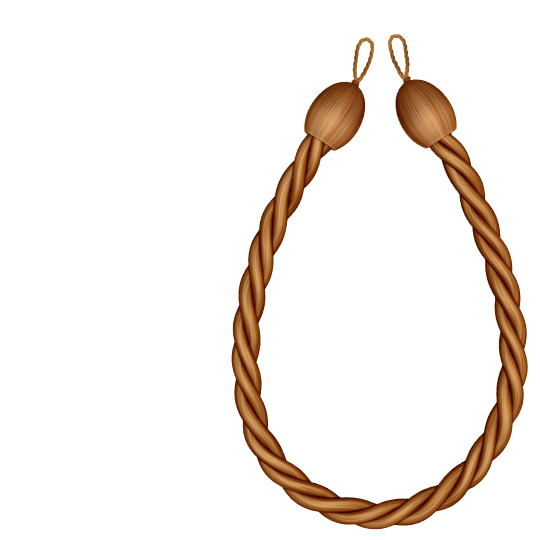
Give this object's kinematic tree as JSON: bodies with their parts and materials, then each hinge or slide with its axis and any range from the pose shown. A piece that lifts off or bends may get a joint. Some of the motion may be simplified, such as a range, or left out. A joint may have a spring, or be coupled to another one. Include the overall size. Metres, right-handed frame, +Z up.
{
  "type": "curtain tieback",
  "caption": "Twisted satin rope curtain tieback lying in an open oval, with an egg-shaped thread-covered end and a small hanging loop of cord at each end.",
  "frame": {"origin": "on the surface the piece lies on, under the middle of its box", "axes": "+Z up from the surface; +Y along the oval, from the bottom of the rope to the hanging loops; +X to the right seen from above"},
  "size_m": [0.1988, 0.3323, 0.0356],
  "materials": {
    "rope": "glossy satin yarn with fine lengthwise threads, old gold to copper",
    "egg_cover": "satin thread woven closely over a wooden mould, copper brown",
    "neck_thread": "tightly wound satin thread, dark copper brown",
    "loop_cord": "three-ply twisted satin cord, copper brown"
  },
  "bodies": {
    "root": {"rope_strand_1": "rope", "rope_strand_2": "rope", "rope_strand_3": "rope", "egg_left": "egg_cover", "egg_right": "egg_cover", "neck_left": "neck_thread", "neck_right": "neck_thread", "loop_left": "loop_cord", "loop_right": "loop_cord"}
  },
  "joints": []
}
